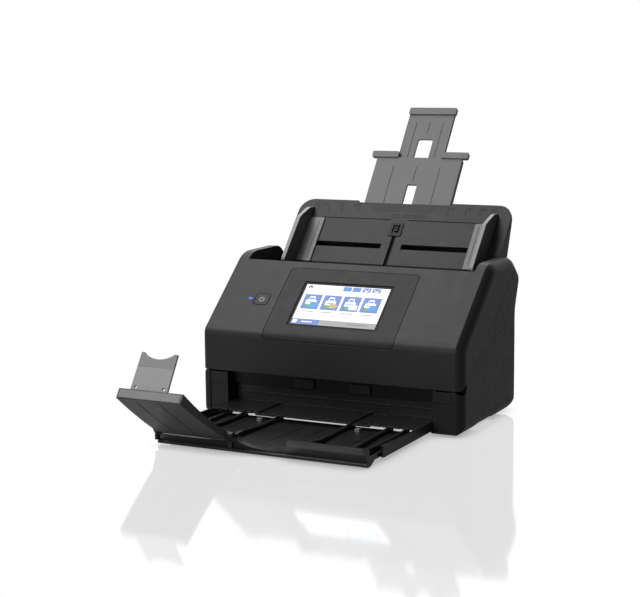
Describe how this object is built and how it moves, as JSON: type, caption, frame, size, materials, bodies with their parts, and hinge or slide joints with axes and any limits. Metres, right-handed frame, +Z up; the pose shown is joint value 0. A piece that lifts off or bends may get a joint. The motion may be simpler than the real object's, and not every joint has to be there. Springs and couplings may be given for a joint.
{
  "type": "sheet fed document scanner",
  "caption": "Desktop sheet fed document scanner with a touch panel on its sloped front, a folding input tray with guides, and a pull out output tray with a flap.",
  "frame": {"origin": "on the resting plane, under the middle of the body, at the bottom of the rubber feet", "axes": "+Z up, the front with the panel faces -Y, the width runs along X"},
  "size_m": [0.296, 0.5029, 0.3121],
  "materials": {
    "cover_plastic": "fine matte texture",
    "bezel_plastic": "satin",
    "body_plastic": "fine matte texture",
    "tray_plastic": "fine matte texture",
    "extension_plastic": "satin",
    "stopper_plastic": "satin",
    "inner_plastic": "satin",
    "black_plastic": "gloss",
    "guide_plastic": "satin",
    "screen_glass": "coated hard panel, opaque from outside",
    "scan_glass": "clear polished",
    "rubber": "soft matt",
    "steel": "ground",
    "zinc_steel": "zinc plated sheet",
    "board": "solder mask",
    "connector_metal": "plated",
    "white_acetal": "smooth self lubricating",
    "lens": "translucent blue",
    "display": "display cell in a plated frame"
  },
  "bodies": {
    "base": {"base_housing": "body_plastic", "rubber_feet": "rubber", "rear_cover": "body_plastic", "tray_hinge_pins": "steel", "chassis": "zinc_steel", "hinge_blocks": "inner_plastic", "cover_hinge_pins": "steel", "lower_paper_guide": "inner_plastic", "rear_scan_unit": "inner_plastic", "rear_scan_glass": "scan_glass", "shaft_bushes": "white_acetal", "feed_motor": "zinc_steel", "drive_belt": "rubber", "main_board": "board", "usb_port": "connector_metal", "power_jack": "black_plastic", "exit_roller_covers": "rubber", "case_screws": "steel"},
    "front_cover": {"front_cover": "cover_plastic", "panel_bezel": "bezel_plastic", "touch_screen": "screen_glass", "display_module": "display", "panel_board": "board", "status_lens": "lens", "upper_paper_guide": "inner_plastic", "front_scan_unit": "inner_plastic", "front_scan_glass": "scan_glass", "idler_shafts": "steel", "separation_holder": "inner_plastic"},
    "power_button": {"power_button": "black_plastic"},
    "cover_lever": {"cover_release_lever": "inner_plastic"},
    "separation": {"separation_roller": "rubber", "separation_shaft": "steel"},
    "feed_idlers": {"feed_idler_rollers": "rubber"},
    "exit_idlers": {"exit_idler_rollers": "rubber"},
    "pickup_drive": {"pickup_rollers": "rubber", "pickup_shaft": "steel", "pickup_pulley": "white_acetal"},
    "feed_drive": {"feed_rollers": "rubber", "feed_shaft": "steel", "feed_pulley": "white_acetal"},
    "exit_drive": {"exit_rollers": "rubber", "exit_shaft": "steel", "exit_pulley": "white_acetal"},
    "motor_rotor": {"motor_shaft": "steel", "motor_pulley": "white_acetal"},
    "paper_sensor": {"paper_sensor_lever": "inner_plastic"},
    "input_tray": {"input_tray": "tray_plastic", "tray_back_cover": "body_plastic", "tray_clip": "stopper_plastic"},
    "guide_pinion": {"guide_pinion": "white_acetal"},
    "guide_left": {"edge_guide_left": "guide_plastic"},
    "guide_right": {"edge_guide_right": "guide_plastic"},
    "extension_lower": {"tray_extension_lower": "extension_plastic"},
    "extension_upper": {"tray_extension_upper": "extension_plastic"},
    "output_tray": {"output_tray": "tray_plastic"},
    "output_extension": {"output_tray_extension": "tray_plastic", "flap_pin": "steel"},
    "output_flap": {"output_flap": "tray_plastic"},
    "output_stopper": {"output_stopper": "stopper_plastic"}
  },
  "joints": [
    {"name": "tray_fold", "type": "hinge", "parent": "base", "child": "input_tray", "pos_m": [0, 0.076, 0.146], "axis": [-1, 0, 0], "range_deg": [-116, 0]},
    {"name": "extension_lower_slide", "type": "slide", "parent": "input_tray", "child": "extension_lower", "axis": [0, 0.5878, 0.809], "range_m": [-0.06, 0]},
    {"name": "extension_upper_slide", "type": "slide", "parent": "extension_lower", "child": "extension_upper", "axis": [0, 0.5878, 0.809], "range_m": [-0.052, 0]},
    {"name": "guide_left_slide", "type": "slide", "parent": "input_tray", "child": "guide_left", "axis": [1, 0, 0], "range_m": [0, 0.082]},
    {"name": "guide_right_slide", "type": "slide", "parent": "input_tray", "child": "guide_right", "axis": [-1, 0, 0], "range_m": [0, 0.082]},
    {"name": "guide_pinion_turn", "type": "hinge", "parent": "input_tray", "child": "guide_pinion", "pos_m": [0, 0.08017, 0.1655], "axis": [0, 0.7501, -0.6613], "range_deg": [0, 784]},
    {"name": "cover_open", "type": "hinge", "parent": "base", "child": "front_cover", "pos_m": [0, -0.073, 0.0495], "axis": [1, 0, 0], "range_deg": [0, 58]},
    {"name": "power_press", "type": "slide", "parent": "front_cover", "child": "power_button", "axis": [0, 0.6521, -0.7581], "range_m": [0, 0.0008]},
    {"name": "cover_lever_pull", "type": "hinge", "parent": "front_cover", "child": "cover_lever", "pos_m": [0, 0.036, 0.13916], "axis": [-1, 0, 0], "range_deg": [0, 15]},
    {"name": "feed_spin", "type": "hinge", "parent": "base", "child": "feed_drive", "pos_m": [0, 0.00201, 0.07645], "axis": [1, 0, 0], "continuous": true},
    {"name": "pickup_spin", "type": "hinge", "parent": "base", "child": "pickup_drive", "pos_m": [0, 0.01709, 0.08633], "axis": [1, 0, 0], "continuous": true},
    {"name": "exit_spin", "type": "hinge", "parent": "base", "child": "exit_drive", "pos_m": [0, -0.03341, 0.05034], "axis": [1, 0, 0], "continuous": true},
    {"name": "motor_spin", "type": "hinge", "parent": "base", "child": "motor_rotor", "pos_m": [0, 0.024, 0.0515], "axis": [1, 0, 0], "continuous": true},
    {"name": "feed_idler_spin", "type": "hinge", "parent": "front_cover", "child": "feed_idlers", "pos_m": [0, -0.00399, 0.08458], "axis": [1, 0, 0], "continuous": true},
    {"name": "exit_idler_spin", "type": "hinge", "parent": "front_cover", "child": "exit_idlers", "pos_m": [0, -0.0394, 0.05847], "axis": [1, 0, 0], "continuous": true},
    {"name": "separation_spin", "type": "hinge", "parent": "front_cover", "child": "separation", "pos_m": [0, 0.00872, 0.09768], "axis": [1, 0, 0], "continuous": true},
    {"name": "paper_sensor_tilt", "type": "hinge", "parent": "base", "child": "paper_sensor", "pos_m": [0, 0.03336, 0.09879], "axis": [1, 0, 0], "range_deg": [0, 20]},
    {"name": "output_tray_slide", "type": "slide", "parent": "base", "child": "output_tray", "axis": [0, -1, 0], "range_m": [-0.108, 0]},
    {"name": "output_extension_slide", "type": "slide", "parent": "output_tray", "child": "output_extension", "axis": [0, -1, 0], "range_m": [-0.044, 0]},
    {"name": "flap_fold", "type": "hinge", "parent": "output_extension", "child": "output_flap", "pos_m": [0, -0.222, 0.017], "axis": [1, 0, 0], "range_deg": [-143.5, 0]},
    {"name": "stopper_fold", "type": "hinge", "parent": "output_flap", "child": "output_stopper", "pos_m": [0, -0.2899, 0.0656], "axis": [1, 0, 0], "range_deg": [-97.5, 0]}
  ],
  "couplings": [
    {"joint": "guide_right_slide", "follows": "guide_left_slide", "ratio": 1},
    {"joint": "guide_pinion_turn", "follows": "guide_left_slide", "rad_per_m": 166.67},
    {"joint": "pickup_spin", "follows": "feed_spin", "ratio": 1},
    {"joint": "exit_spin", "follows": "feed_spin", "ratio": 1},
    {"joint": "motor_spin", "follows": "feed_spin", "ratio": 1.5},
    {"joint": "feed_idler_spin", "follows": "feed_spin", "ratio": -1.5},
    {"joint": "exit_idler_spin", "follows": "feed_spin", "ratio": -1.5},
    {"joint": "stopper_fold", "follows": "flap_fold", "ratio": 0.679}
  ]
}
